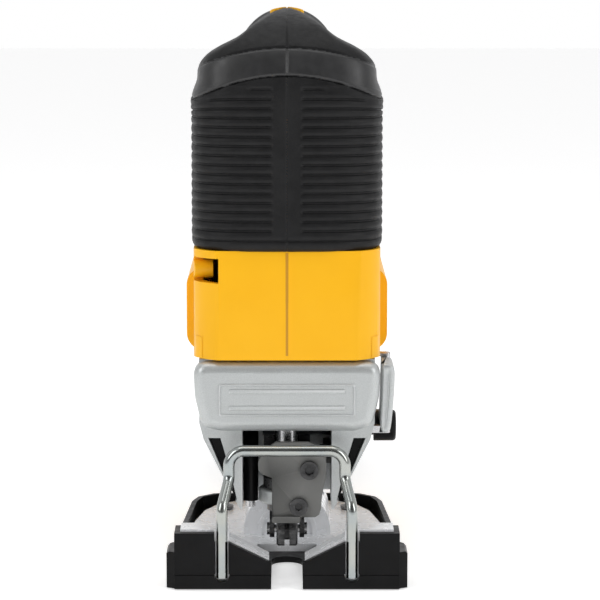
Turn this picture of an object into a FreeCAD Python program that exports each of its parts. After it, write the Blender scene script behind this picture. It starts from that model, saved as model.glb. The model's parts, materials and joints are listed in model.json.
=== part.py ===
"""Cordless top-handle jigsaw, in millimetres.

+Z is up, -Y is the front (the way the saw cuts) and +X is the tool's left side.
The origin lies on the flat sole, on the tool's middle plane, midway along the shoe.
Each function makes one piece, and the table at the end writes each piece to its own STEP file.
"""

import FreeCAD, Part
import math
import os

Vec = FreeCAD.Vector
X, Y, Z = Vec(1, 0, 0), Vec(0, 1, 0), Vec(0, 0, 1)

# ---- driving dimensions -------------------------------------------------
SHOE_FRONT, SHOE_REAR = -66.0, 66.0     # ends of the sole
SHOE_HALF = 40.0                        # half the sole's width
SOLE_T = 2.2                            # floor of the plastic shoe cover
DECK_Z = 5.0                            # top of the cast shoe plate
TOWER_Z, TOWER_Y = 20.4, -52.4          # raised front of the shoe: height, rear face
SLOT_HALF, SLOT_REAR = 5.6, -29.5       # blade slot: half width, rear end

TILT_Z, TILT_DEG = 6.0, 45.0            # bevel axis along Y, and its travel each way
BOSS_R, BOSS_IN = 16.5, 12.3            # arched bevel seat on the shoe
SADDLE_R = BOSS_R + 0.35                # gear case's saddle over that seat
BOSS_Y0, BOSS_Y1 = 1.0, 44.0
BOLT_Y = 32.0                           # bevel clamp bolt

ROD_Y, ROD_R = -34.5, 4.0               # plunger rod
STROKE = 23.0
GEAR_Z, MOTOR_Z = 84.5, 104.5           # drive gear and motor axes, along Y
MODULE, PINION_TEETH, GEAR_TEETH = 1.0, 9, 31
YOKE_Z = GEAR_Z - STROKE / 2            # yoke at the bottom of its stroke

FACE_Y = -50.0                          # front of the body
HALF_W = 33.8                           # half width of the body at the front
COVER_Z0, COVER_Z1 = 54.0, 79.0         # cast front cover
BODY_Z0, GRIP_Z0 = 79.8, 119.0          # coloured front housing, and where the grip starts
CREASE_Z = 100.5                        # crease across the front housing
SHELL = 3.4                             # wall of the housing and grip
FOOT_Z0, FOOT_Y1 = 98.0, 178.0          # battery foot: underside, rear end

PACK_Y0, PACK_Y1 = 93.0, 200.0          # battery pack
PACK_HALF, PACK_Z0, PACK_Z1 = 36.0, 47.0, 97.2

FORK_Y, FORK_Z = -12.5, 56.5            # swinging blade support: pivot
ROLLER_Y, ROLLER_Z, ROLLER_R = -24.4, 13.0, 6.4
CAM_Y, CAM_Z = -20.0, 50.9              # orbital selector shaft
LEVER_X, LEVER_Y = 36.2, -28.5          # blade lever's pivot, along Z


# ---- helpers ------------------------------------------------------------
def box(x0, x1, y0, y1, z0, z1):
    """Block between two corners."""
    return Part.makeBox(x1 - x0, y1 - y0, z1 - z0, Vec(x0, y0, z0))


def cyl(radius, start, direction, length):
    """Cylinder from a point along a direction."""
    return Part.makeCylinder(radius, length, Vec(*start), direction)


def tube(outer, inner, start, direction, length):
    """Ring or sleeve."""
    return cyl(outer, start, direction, length).cut(cyl(inner, start, direction, length))


def fuse(shapes):
    """One solid from several that touch or overlap."""
    joined = shapes[0]
    for shape in shapes[1:]:
        joined = joined.fuse(shape)
    return joined.removeSplitter()


def cut(shape, *tools):
    for tool in tools:
        shape = shape.cut(tool)
    return shape


def face_of(points):
    """Plane face from a closed outline of 3-D points."""
    return Part.Face(Part.makePolygon([Vec(*p) for p in points + points[:1]]))


def prism_y(outline, y0, y1):
    """An (x, z) outline swept from y0 to y1."""
    return face_of([(x, y0, z) for x, z in outline]).extrude(Vec(0, y1 - y0, 0))


def prism_x(outline, x0, x1):
    """A (y, z) outline swept from x0 to x1."""
    return face_of([(x0, y, z) for y, z in outline]).extrude(Vec(x1 - x0, 0, 0))


def prism_z(outline, z0, z1):
    """An (x, y) outline swept from z0 to z1."""
    return face_of([(x, y, z0) for x, y in outline]).extrude(Vec(0, 0, z1 - z0))


def mirrored(outline):
    """Right half of an outline, bottom to top, closed by its mirror image."""
    return outline + [(-x, z) for x, z in reversed(outline)]


def mirror_x(shape):
    return shape.mirror(Vec(0, 0, 0), X)


def edges_along(shape, direction, test=lambda p: True):
    """Straight edges parallel to a direction whose middle passes a test."""
    found = []
    for edge in shape.Edges:
        if len(edge.Vertexes) == 2 and edge.Curve.TypeId == "Part::GeomLine":
            run = edge.Vertexes[1].Point.sub(edge.Vertexes[0].Point)
            if run.cross(direction).Length < 1e-6 * run.Length and test(edge.CenterOfMass):
                found.append(edge)
    return found


def rounded(shape, radius, direction, test=lambda p: True):
    """Fillets on the straight edges that run along a direction."""
    return shape.makeFillet(radius, edges_along(shape, direction, test))


def soft_box(x0, x1, y0, y1, z0, z1, radius, edge=0.0):
    """Block with vertical corners of one radius and, if asked, a small round on its top and bottom."""
    block = rounded(box(x0, x1, y0, y1, z0, z1), radius, Z)
    if edge:
        rims = [e for f in block.Faces if abs(f.normalAt(0, 0).z) > 0.99 for e in f.Edges]
        block = block.makeFillet(edge, rims)
    return block


def superellipse(centre, out, half_x, half_out, power, count=32):
    """Closed smooth section in the plane of X and 'out', about a centre."""
    points = []
    for i in range(count):
        angle = 2 * math.pi * i / count
        c, s = math.cos(angle), math.sin(angle)
        across = half_x * math.copysign(abs(c) ** (2 / power), c)
        along = half_out * math.copysign(abs(s) ** (2 / power), s)
        points.append(centre + X * across + out * along)
    curve = Part.BSplineCurve()
    curve.interpolate(Points=points, PeriodicFlag=True)
    return Part.Wire(curve.toShape())


def sweep_wire(points, radius, bends):
    """Round wire through 3-D points, with an arc of the given radius at each inner point."""
    path, here = [], Vec(*points[0])
    for before, corner, after, bend in zip(points, points[1:], points[2:], bends):
        b, c, a = Vec(*before), Vec(*corner), Vec(*after)
        u, v = (b - c).normalize(), (a - c).normalize()
        half = u.getAngle(v) / 2
        reach = bend / math.tan(half)
        start, end = c + u * reach, c + v * reach
        middle_dir = (u + v).normalize()
        middle = c + middle_dir * (bend / math.sin(half) - bend)
        path.append(Part.LineSegment(here, start).toShape())
        path.append(Part.Arc(start, middle, end).toShape())
        here = end
    path.append(Part.LineSegment(here, Vec(*points[-1])).toShape())
    spine = Part.Wire(path)
    first = Vec(*points[1]) - Vec(*points[0])
    ring = Part.Wire(Part.makeCircle(radius, Vec(*points[0]), first))
    return spine.makePipeShell([ring], True, True)


def screw(start, direction, shank_r, length, head_r, head_t, socket_r=0.0):
    """Screw whose head rests at the start, with its shank running along the direction."""
    s = Vec(*start)
    shank = Part.makeCylinder(shank_r, length, s, direction)
    head = Part.makeCylinder(head_r, head_t, s - direction * head_t, direction)
    head = head.makeChamfer(min(0.5, head_t / 3), [head.Edges[0], head.Edges[2]][:1])
    body = shank.fuse(head)
    if socket_r:
        hexagon = [
            s - direction * (head_t + 0.01) + turn
            for turn in hex_corners(direction, socket_r)
        ]
        pocket = Part.Face(Part.makePolygon(hexagon + hexagon[:1])).extrude(direction * (head_t * 0.6))
        body = body.cut(pocket)
    return body


def hex_corners(direction, radius):
    """Six corner offsets of a hexagon across a direction."""
    side = Z if abs(direction.z) < 0.5 else X
    other = direction.cross(side)
    return [
        side * (radius * math.cos(k * math.pi / 3)) + other * (radius * math.sin(k * math.pi / 3))
        for k in range(6)
    ]


def ring_sector(outer, inner, y0, y1, limit_deg):
    """Arch about the bevel axis, from -limit to +limit degrees off vertical."""
    arch = tube(outer, inner, (0, y0, TILT_Z), Y, y1 - y0)
    far = outer * 3
    angle = math.radians(limit_deg)
    edge = (far * math.sin(angle), TILT_Z + far * math.cos(angle))
    keep = [(0, TILT_Z), edge, (edge[0], TILT_Z + far), (-edge[0], TILT_Z + far), (-edge[0], edge[1])]
    return arch.common(prism_y(keep, y0 - 1, y1 + 1))


# ---- shoe ---------------------------------------------------------------
def valley(half_gap, lift):
    """Front outline of the shoe's raised front, with the sloped valley to the blade slot."""
    right = [
        (half_gap, 0),
        (half_gap, 9.6 + lift),
        (20.6, 17.0 + lift),
        (21.0, TOWER_Z + lift),
        (SHOE_HALF, TOWER_Z + lift),
        (SHOE_HALF, 0),
    ]
    return right


def both_sides(outline, y0, y1):
    """Compound of an outline's prism and its mirror image."""
    right = prism_y(outline, y0, y1)
    return right.fuse(mirror_x(right))


def sole_outline(grow=0.0):
    """Plan of the shoe: straight front and sides, and a rear that narrows."""
    right = [
        (SHOE_HALF + grow, SHOE_FRONT),
        (SHOE_HALF + grow, 8.0),
        (37.6 + grow, 50.0),
        (35.4 + grow, 58.5),
        (29.5 + grow * 0.7, 64.6 + grow * 0.7),
        (24.0, SHOE_REAR + grow),
    ]
    return right + [(-x, y) for x, y in reversed(right)]


def bail_axes():
    return [(-23.1, -64.0), (23.1, -64.0)]


def shoe_plate():
    """Cast plate: deck, raised front with a valley, and the arched bevel seat."""
    right = [(37.2, -63.2), (37.2, 7.0), (35.4, 25.0), (32.4, 43.0), (27.5, 55.0), (20.0, 61.5)]
    plan = right + [(-x, y) for x, y in reversed(right)]
    deck = prism_z(plan, SOLE_T, DECK_Z)
    front = both_sides(valley(SLOT_HALF + 0.8, 0.9), -63.2, TOWER_Y)
    front = front.common(box(-37.9, 37.9, -70, 0, SOLE_T, 40))
    seat = cyl(BOSS_R, (0, BOSS_Y0, TILT_Z), Y, BOSS_Y1 - BOSS_Y0)
    seat = seat.common(box(-40, 40, -10, 60, SOLE_T, 40))
    plate = fuse([deck, front, seat])
    hollow = cyl(BOSS_IN, (0, BOSS_Y0 + 3.0, TILT_Z), Y, 60)
    ridge = tube(11.2, 9.6, (0, BOSS_Y0 - 0.8, TILT_Z), Y, 1.0)
    ridge = ridge.common(box(-40, 40, -10, 60, DECK_Z, 40))
    slot = prism_z([(-7.0, -70), (7.0, -70), (11.0, -50), (11.0, -15.5), (-11.0, -15.5), (-11.0, -50)], 0, DECK_Z + 1)
    walk = both_sides([(0, 0), (9.5, 0), (9.5, 9.0), (0, 9.0)], -49, -15.5)
    arc = tube(BOSS_R + 2, BOSS_IN - 2, (0, BOLT_Y - 3.4, TILT_Z), Y, 6.8)
    far = 60
    wedge = [(0, TILT_Z), (far, TILT_Z + far * 0.55), (far, 90), (-far, 90), (-far, TILT_Z + far * 0.55)]
    arc = arc.common(prism_y(wedge, 0, 60))
    grooves = [cyl(2.0, (x, y, 3.8), Z, 30) for x, y in bail_axes()]
    open_front = [box(x - 2.6, x + 2.6, -70, -64, 5.3, 40) for x, _ in bail_axes()]
    plate = cut(plate, hollow.common(box(-40, 40, 0, 70, DECK_Z - 1.4, 40)), slot, walk, arc, *grooves, *open_front)
    holes = [cyl(1.4, (x, y, -1), Z, 20) for x, y in shoe_screw_spots()]
    return fuse([cut(plate, *holes), ridge])


def overshoe():
    """Plastic cover under and around the plate, with its own front wall, rim and side pads."""
    base = prism_z(sole_outline(), 0, 7.4)
    inner = sole_outline(-2.0)
    base = base.cut(prism_z(inner, SOLE_T, 20).common(box(-50, 50, -63.2, 70, 0, 30)))
    wall = both_sides(valley(SLOT_HALF, 0.0), SHOE_FRONT, -63.2)
    flank = box(38.0, SHOE_HALF, -64.5, TOWER_Y, 0, TOWER_Z)
    flank = flank.fuse(mirror_x(flank))
    pad = prism_z([(39.5, -64.5), (42.9, -62.5), (42.9, -50.5), (39.5, -46.0)], 0, 13.2)
    pad = pad.makeChamfer(0.8, edges_along(pad, Y, lambda p: p.x > 42 and p.z > 13))
    pads = pad.fuse(mirror_x(pad))
    cover = fuse([base, wall, flank, pads])
    slot = box(-SLOT_HALF, SLOT_HALF, -70, SLOT_REAR, -1, 40)
    channels = [box(x - 2.7, x + 2.7, -70, -60, 5.3, 40) for x, _ in bail_axes()]
    channels += [cyl(2.7, (x, -70, 5.3), Y, 10) for x, _ in bail_axes()]
    channels.append(box(-60, 60, -70, SHOE_FRONT + 0.35, 5.1, 5.5))
    sockets = [cyl(2.2, (x, y, 3.8), Z, 30) for x, y in bail_axes()]
    keyhole = cyl(SLOT_HALF, (0, SLOT_REAR, -1), Z, 20)
    holes = [cyl(1.4, (x, y, 1.2), Z, 20) for x, y in shoe_screw_spots()]
    cover = cut(cover, slot, keyhole.common(box(-9, 9, -60, -10, -1, SOLE_T)), *channels, *sockets, *holes)
    lead = edges_along(cover, X, lambda p: p.y < -65.9 and p.z < 0.1)
    return cover.makeChamfer(0.6, lead) if lead else cover


def finger_guard():
    """Bent wire in front of the blade."""
    right = [(23.1, -64.0, 4.0), (23.1, -64.0, 29.0), (20.7, -56.2, 38.0), (20.7, -56.0, 48.2), (0.0, -56.0, 48.6)]
    left = [(-x, y, z) for x, y, z in reversed(right[:-1])]
    return sweep_wire(right[:-1] + left, 2.0, [5.0, 5.0, 5.5, 5.5, 5.0, 5.0])


def shoe_screw_spots():
    return [(30, -45), (-30, -45), (24, 46), (-24, 46)]


def shoe_screws():
    """Four small screws that hold the plastic cover to the plate."""
    down = Vec(0, 0, -1)
    return Part.Compound([screw((x, y, DECK_Z), down, 1.4, 3.8, 2.9, 1.5, 1.2) for x, y in shoe_screw_spots()])


# ---- tilting body: castings --------------------------------------------
LEG_OUTLINE = [(17.0, 24.4), (30.0, 50.0), (31.6, 56.0), (31.6, 79.4)]


def gear_case():
    """Casting that carries the plunger and gears, straddles the blade area and sits on the bevel seat."""
    lower = prism_y(mirrored(LEG_OUTLINE), -44, 4)
    upper = rounded(box(-24, 24, -42, 4, 66, 117), 6, Y)
    neck = prism_y(mirrored([(12.6, 21.8), (19.0, 30.0), (23.0, 52.0), (25.0, 79.4)]), 4, BOSS_Y1)
    front_neck = prism_y(mirrored([(12.6, 21.8), (17.0, 25.0), (17.0, 40.0)]), BOSS_Y0, 6)
    case = fuse([lower, upper, neck, front_neck])
    mouth = box(-16.1, 16.1, -60, -9, 0, 60.0)
    mouth = rounded(mouth, 3.0, Y, lambda p: p.z > 50)
    gears = box(-20.5, 20.5, -60, -2.5, 67.6, 113.5)
    saddle = cyl(SADDLE_R, (0, -10, TILT_Z), Y, 70)
    pocket = box(-15, 15, 14, 60, 30, 64)
    attic = box(-19, 19, 8, 60, 67, 90)
    sweep = box(-40, 40, 38, 60, 33.0, 41.0)
    slits = [
        prism_y([(s * 18.0, 27.6), (s * 18.9, 27.6), (s * 28.4, 50.6), (s * 24.0, 50.6), (s * 20.6, 39.0)], -60, -22)
        for s in (1, -1)
    ]
    bores = [
        cyl(6.0, (0, ROD_Y, 58), Z, 12),
        cyl(6.0, (0, ROD_Y, 112), Z, 10),
        cyl(2.05, (-60, FORK_Y, FORK_Z), X, 120).common(box(-19.5, 19.5, -60, 60, 0, 90)),
        cyl(3.6, (-22, CAM_Y, CAM_Z), X, 70),
        cyl(4.0, (0, -10, GEAR_Z), Y, 30),
        cyl(8.05, (0, -10, MOTOR_Z), Y, 30),
        cyl(2.6, (0, BOLT_Y, 0), Z, 40),
    ]
    bores += [cyl(1.6, (x, -60, z), Y, 24.5) for x, z in lid_screw_spots()]
    bores += [cyl(1.6, (x, -60, z), Y, 66) for x, z in cover_screw_spots()]
    bores += [cyl(2.65, (x, 2.0, z), Y, 6) for x, z in cover_screw_spots()]
    bores += [cyl(9.3, (0, ROD_Y, 55), Z, 7.6)]
    case = cut(case, mouth, gears, saddle, pocket, attic, sweep, *slits, *bores)
    shelf = box(-10, 10, ROD_Y - 7.5, ROD_Y + 7.5, 107, 113.6).cut(cyl(6.0, (0, ROD_Y, 100), Z, 30))
    return fuse([case, shelf])


def case_lid():
    """Flat cover that closes the front of the gear chamber."""
    lid = rounded(box(-23.5, 23.5, -44, -42.05, 80.0, 116.5), 6, Y)
    holes = [cyl(1.8, (x, -60, z), Y, 40) for x, z in lid_screw_spots()]
    return cut(lid, *holes)


def lid_screw_spots():
    return [(-22.2, 86.0), (22.2, 86.0), (-22.2, 111.0), (22.2, 111.0)]


def front_cover():
    """Cast cover at the front of the gear case, with a plain framed panel."""
    outline = mirrored([(22.0, 54.0), (29.0, 56.2), (32.6, 61.5), (33.4, 68.0), (33.8, 79.0)])
    cover = prism_y(outline, FACE_Y, -43.0)
    cover = cover.makeFillet(3.4, edges_along(cover, Y, lambda p: abs(p.x) > 25 and p.z > 60 and p.z < 78))
    rim = [e for e in cover.Edges if abs(e.CenterOfMass.y - FACE_Y) < 1e-3]
    cover = cover.makeFillet(1.6, rim)
    panel = soft_panel(-26, 26, 58.6, 74.0, 2.5, FACE_Y - 1, FACE_Y + 0.7)
    bars = fuse([
        soft_panel(-21, 21, 69.4, 70.6, 0.5, FACE_Y, FACE_Y + 1),
        soft_panel(-21, 21, 61.8, 63.0, 0.5, FACE_Y, FACE_Y + 1),
    ])
    hollow = box(-30, 30, FACE_Y + 2.6, -44.0, 57, 80)
    rear = box(-31.7, 31.7, -44.0, -30, 40, 90)
    bosses = [cyl(3.3, (x, -48.0, z), Y, 4.0) for x, z in cover_screw_spots()]
    holes = [cyl(1.6, (x, -48.3, z), Y, 10) for x, z in cover_screw_spots()]
    return cut(fuse([cut(cover, panel, hollow, rear), bars, *bosses]), *holes)


def cover_screw_spots():
    return [(-28.6, 66.0), (28.6, 66.0)]


def soft_panel(x0, x1, z0, z1, radius, y0, y1):
    """Rounded rectangle facing the front."""
    return rounded(box(x0, x1, y0, y1, z0, z1), radius, Y)


def cover_screws():
    heads = [screw((x, 2.0, z), -Y, 1.6, 50.1, 2.6, 1.6, 1.2) for x, z in cover_screw_spots()]
    lid = [screw((x, -44.0, z), Y, 1.6, 7.5, 2.4, 1.4, 1.1) for x, z in lid_screw_spots()]
    return Part.Compound(heads + lid)


# ---- tilting body: coloured housing and soft grip -----------------------
BAR_R, BAR_Z, POST_Y = 18.9, 184.0, 116.0    # handle bar: radius, axis height, rear post axis
BAR_END, BEND_R = 92.0, 24.0                  # where the bar turns down, and its bend
BAR_SLOPE = 1.4                               # fall of the bar towards the rear, degrees


def column(d):
    """Nose of the body, from the front housing up to the domed head."""
    block = box(-34.4 + d, 34.4 - d, -51.2 + d, 5.0 - d, BODY_Z0, 192.6 - d)
    block = rounded(block, 17.0 - d, Z, lambda p: p.y < -30)
    block = rounded(block, 12.0 - d, Z, lambda p: p.y > -10)
    top = [e for e in block.Edges if abs(e.CenterOfMass.z - (192.6 - d)) < 1e-3]
    block = block.makeFillet(11.5 - d, top)
    front = -51.2 + d
    facets = [
        (front - 5, BODY_Z0 - 1),
        (front + 1.6, BODY_Z0 - 1),
        (front + 1.0, CREASE_Z),
        (front + 2.2, GRIP_Z0),
        (front - 5, GRIP_Z0),
    ]
    block = block.cut(prism_x(facets, -60, 60))
    flank = box(33.5 - d, 60, -60, 60, BODY_Z0 - 1, GRIP_Z0)
    block = cut(block, flank, mirror_x(flank))
    shoulder = [(9.0 - d, 165.0), (-29.6, 211.0), (60.0, 211.0), (60.0, 165.0)]
    side = prism_x(shoulder, 19.0 - d, 60)
    return cut(block, side, mirror_x(side))


def motor_housing(d):
    block = box(-33.6 + d, 33.6 - d, -24.0 + d, 92.0 - d, 66.0 + d, 128.5 - d)
    block = rounded(block, 13.0 - d, Y)
    return block.cut(box(-60, 60, -60, 4.4 + d, 40, BODY_Z0))


def handle(d):
    """Round bar over the motor that turns down into the rear post."""
    r = BAR_R - d
    bar = cyl(r, (0, -20.0, BAR_Z), Y, BAR_END + 20.0)
    nose = Part.makeSphere(r, Vec(0, -20.0, BAR_Z))
    ring = Part.Face(Part.Wire(Part.makeCircle(r, Vec(0, BAR_END, BAR_Z), Y)))
    bend = ring.revolve(Vec(0, BAR_END, BAR_Z - BEND_R), Vec(-1, 0, 0), 90)
    post = cyl(r, (0, POST_Y, 104.0), Z, BAR_Z - BEND_R - 104.0)
    body = bar.fuse(nose).fuse(bend).fuse(post)
    body.rotate(Vec(0, -20.0, BAR_Z), X, -BAR_SLOPE)
    return body.removeSplitter()


def foot(d):
    """Rear block that takes the battery rails."""
    outline = [
        (80 + d, FOOT_Z0 + d),
        (FOOT_Y1 - d, FOOT_Z0 + d),
        (FOOT_Y1 - d, 112 - d * 0.6),
        (160, 119 - d),
        (128, 124 - d),
        (85 + d, 127 - d),
    ]
    block = prism_x(outline, -34 + d, 34 - d)
    return rounded(block, 6.0 - d, Z, lambda p: p.y > 170)


def pods(d):
    """Wide vent housings low on both sides of the motor."""
    block = box(-37.8 + d, 37.8 - d, 8 + d, 76 - d, 74.5 + d, 106.0 - d)
    return rounded(block, 6.5 - d, Y)


def body_volume(d):
    return fuse([column(d), motor_housing(d), handle(d), foot(d), pods(d)])


def grip_region():
    """Space in which the wall is soft black grip."""
    front = box(-60, 60, -70, 3.5, GRIP_Z0, 230)
    bar = box(-60, 60, -70, 98, 160, 230)
    stripe = box(-6.2, 6.2, -8, 120, 190, 230)
    return front.fuse(bar).cut(stripe)


def column_core(d):
    """Nose with its skin taken off, for grooves of even depth."""
    return column(d).fuse(handle(0)).fuse(motor_housing(0))


def rib_grooves():
    """Shallow grooves between the horizontal ribs on both sides of the nose."""
    tools = []
    pitch = 3.35
    for i in range(16):
        z = 126.2 + pitch * i
        inner = 5.3
        outer = 60 if i < 13 else (28.0 if i == 14 else 13.0 if i == 15 else 60)
        if i < 13:
            tools.append(box(inner, 60, -70, -2.0, z - 1.0, z + 1.0))
        else:
            tools.append(box(inner, outer, -70, -30.0, z - 1.0, z + 1.0))
    right = Part.Compound(tools)
    return Part.Compound([right, mirror_x(right)])


def make_housing():
    """Coloured halves and soft grips, cut from one hollow wall."""
    outer, inner = body_volume(0), body_volume(SHELL)
    throat = box(-31.9, 31.9, -43.9, 2.0, 60, 84)
    tail_hole = box(-25.6, 25.6, -10.0, 46.0, 60, 84)
    lid_room = box(-26, 26, -45.6, 0, 70, 118)
    rail_slot = box(-24.2, 24.2, 93.0, 200, FOOT_Z0 + 3.2, 106.6)
    rail_mouth = box(-18.2, 18.2, 93.0, 200, 90, 103)
    shelf = box(-29.0, 29.0, 90.0, FOOT_Y1 - 0.5, FOOT_Z0, 109.0).common(outer)
    trigger_slot = box(-8.6, 8.6, 11.4, 44.6, 150, 176)
    button_bore = cyl(5.3, (-60, 56, 186), X, 120)
    vents = Part.Compound([box(-60, 60, y, y + 2.2, 80, 101) for y in (20, 25.5, 31, 36.5, 42, 47.5, 53)])
    tail_vents = Part.Compound([box(x - 1.1, x + 1.1, 80, 110, 84, 96) for x in (-15, -10, -5, 5, 10, 15)])
    recess = box(-40, -24.4, -60, -38.0, 107.4, 116.2).common(outer)
    tower = tube(3.4, 1.2, (-26.5, -38.0, 111.6), Vec(-1, 0, 0), 7.4).common(outer)
    bosses = [cyl(3.6, (-40, y, z), X, 80).common(inner) for y, z in screw_towers()]
    bores = [cyl(1.5, (-60, y, z), X, 120) for y, z in screw_towers()]
    pits = [cyl(3.3, (-60, y, z), X, 60 - depth) for (y, z), depth in zip(screw_towers(), screw_depths())]
    openings = [throat, tail_hole, lid_room, rail_slot, rail_mouth, trigger_slot, button_bore]
    wall = outer.cut(inner)
    grip = wall.common(grip_region())
    grip = grip.cut(rib_grooves().common(outer.cut(column_core(0.8))))
    grip = cut(grip, trigger_slot, button_bore, *pits)
    shell = wall.cut(grip_region())
    shell = shell.fuse(shelf)
    for boss in bosses:
        shell = shell.fuse(boss)
    shell = cut(shell, *openings, vents, tail_vents, recess, *bores, *pits)
    shell = shell.fuse(tower.common(outer))
    left, right = box(0, 80, -90, 220, 40, 230), box(-80, 0, -90, 220, 40, 230)
    return {
        "housing_left": biggest(shell.common(left)),
        "housing_right": biggest(shell.common(right)),
        "grip_left": biggest(grip.common(left)),
        "grip_right": biggest(grip.common(right)),
    }


def screw_towers():
    return [(-20.0, 179.5), (124.0, 158.0), (70.0, 187.0), (84.0, 82.0), (160.0, 113.0), (7.0, 122.0)]


def screw_depths():
    return [28.0, 13.5, 12.5, 24.0, 28.0, 28.0]


def biggest(shape):
    """Keeps the real piece and drops shavings."""
    solids = sorted(shape.Solids, key=lambda s: s.Volume, reverse=True)
    kept = [s for s in solids if s.Volume > 60]
    return kept[0] if len(kept) == 1 else Part.Compound(kept)


def housing_screws():
    items = []
    for (y, z), depth in zip(screw_towers(), screw_depths()):
        items.append(screw((-depth, y, z), X, 1.5, depth + 9.0, 2.9, 1.8, 1.2))
    return Part.Compound(items)


# ---- plunger and clamp --------------------------------------------------
def plunger():
    """Hollow-ended rod with the crank yoke on its back."""
    rod = cyl(ROD_R, (0, ROD_Y, 21.5), Z, 90)
    rod = rod.makeChamfer(0.6, [rod.Edges[0], rod.Edges[2]][:1])
    yoke = box(-16.2, 16.2, -29.6, -21.0, YOKE_Z - 4.9, YOKE_Z + 4.9)
    yoke = rounded(yoke, 2.0, Y)
    track = rounded(box(-14.9, 14.9, -27.6, -20, YOKE_Z - 3.5, YOKE_Z + 3.5), 3.3, Y)
    bridge = box(-6.0, 6.0, -34.5, -29.0, YOKE_Z - 4.9, YOKE_Z + 4.9)
    blade_slot = box(-0.8, 0.8, ROD_Y - 5, ROD_Y + 5, 21, 31)
    return cut(fuse([rod, yoke.cut(track), bridge]), blade_slot)


def crank_roller():
    """Needle roller that runs along the yoke."""
    return tube(3.45, 1.5, (0, -27.4, YOKE_Z), Y, 6.2)


def clamp_body():
    """Steel hub pinned to the end of the rod, inside which the blade is gripped."""
    hub = tube(7.2, ROD_R, (0, ROD_Y, 22.6), Z, 13.2)
    hub = hub.fuse(tube(8.6, ROD_R, (0, ROD_Y, 31.2), Z, 3.6))
    slot = box(-0.8, 0.8, ROD_Y - 10, ROD_Y + 10, 20, 30)
    pin = cyl(1.2, (-6.8, ROD_Y, 33.0), X, 13.6)
    return fuse([hub.cut(slot), pin.cut(cyl(ROD_R, (0, ROD_Y, 20), Z, 40))])


def clamp_collar():
    """Turning ring that releases the blade."""
    ring = tube(10.3, 7.26, (0, ROD_Y, 25.6), Z, 5.2)
    ring = ring.makeChamfer(0.5, [e for e in ring.Edges if e.Length > 60])
    ear = rounded(box(8.0, 11.5, ROD_Y - 2.4, ROD_Y + 2.4, 25.6, 30.8), 1.0, Z, lambda p: p.x > 11)
    bore = cyl(7.26, (0, ROD_Y, 20), Z, 20)
    return fuse([ring, ear.cut(bore)])


def clamp_spring():
    """Flat-wire return spring on the hub, drawn as its three turns."""
    return Part.Compound([tube(8.6, 7.4, (0, ROD_Y, 35.9 + 1.1 * k), Z, 0.8) for k in range(3)])


def bush_lower():
    return tube(6.0, ROD_R + 0.03, (0, ROD_Y, 60.1), Z, 7.4)


def bush_upper():
    return tube(6.0, ROD_R + 0.03, (0, ROD_Y, 107.2), Z, 6.0)


def felt_seal():
    return tube(5.9, ROD_R + 0.05, (0, ROD_Y, 113.25), Z, 1.6)


# ---- drive --------------------------------------------------------------
def toothed(teeth, y0, y1, z, phase):
    """Spur wheel along Y with simple trapezoid teeth."""
    pitch_r = MODULE * teeth / 2
    root, tip = pitch_r - 1.1 * MODULE, pitch_r + 0.85 * MODULE
    wheel = cyl(root, (0, y0, z), Y, y1 - y0)
    solids = [wheel]
    step = 2 * math.pi / teeth
    for i in range(teeth):
        a = phase + i * step
        points = []
        for radius, part in ((root - 0.3, 0.23), (pitch_r, 0.17), (tip, 0.07)):
            points.append((radius, -part * step))
        for radius, part in reversed(((root - 0.3, 0.23), (pitch_r, 0.17), (tip, 0.07))):
            points.append((radius, part * step))
        outline = [(r * math.sin(a + da), z + r * math.cos(a + da)) for r, da in points]
        solids.append(prism_y(outline, y0, y1))
    body = solids[0].multiFuse(solids[1:])
    return body.removeSplitter()


def drive_gear():
    """Large wheel with a crank pin and a balance weight."""
    wheel = toothed(GEAR_TEETH, -12.0, -4.5, GEAR_Z, 0.0)
    disc = cyl(13.6, (0, -14.6, GEAR_Z), Y, 2.8)
    weight = cyl(13.4, (0, -18.6, GEAR_Z), Y, 4.2).common(box(-20, 20, -30, 0, GEAR_Z + 2.0, GEAR_Z + 20))
    pin = cyl(2.0, (0, -20.6, YOKE_Z), Y, 7.0)
    bore = cyl(3.04, (0, -30, GEAR_Z), Y, 40)
    return fuse([wheel, disc, weight, pin]).cut(bore)


def gear_shaft():
    """Fixed pin pressed into the case."""
    return fuse([cyl(3.0, (0, -19.4, GEAR_Z), Y, 17.0), cyl(4.0, (0, -2.6, GEAR_Z), Y, 6.4)])


def rotor():
    """Motor rotor: shaft with pinion, fan, laminated core, windings and commutator."""
    shaft = cyl(2.5, (0, -12.2, MOTOR_Z), Y, 92.0)
    pinion = toothed(PINION_TEETH, -12.2, -4.3, MOTOR_Z, 0.0)
    collar = cyl(3.6, (0, 5.2, MOTOR_Z), Y, 12)
    core = cyl(12.4, (0, 26.0, MOTOR_Z), Y, 26)
    slots = [
        cyl(1.1, (11.9 * math.sin(k * math.pi / 6), 25, MOTOR_Z + 11.9 * math.cos(k * math.pi / 6)), Y, 30)
        for k in range(12)
    ]
    ends = [tube(10.6, 2.5, (0, 22.0, MOTOR_Z), Y, 4.2), tube(10.6, 2.5, (0, 51.8, MOTOR_Z), Y, 4.2)]
    commutator = tube(6.6, 2.5, (0, 60.0, MOTOR_Z), Y, 10.0)
    hub = cyl(6.0, (0, 11.0, MOTOR_Z), Y, 6.0)
    plate = tube(17.0, 5.0, (0, 15.6, MOTOR_Z), Y, 1.4)
    blades = []
    for k in range(9):
        blade = box(5.5, 16.8, 11.2, 16.0, MOTOR_Z - 0.6, MOTOR_Z + 0.6)
        blade.rotate(Vec(0, 0, MOTOR_Z), Y, 40 * k)
        blades.append(blade)
    return fuse([shaft, pinion, collar, core.cut(Part.Compound(slots)), *ends, commutator, hub, plate, *blades])


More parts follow.
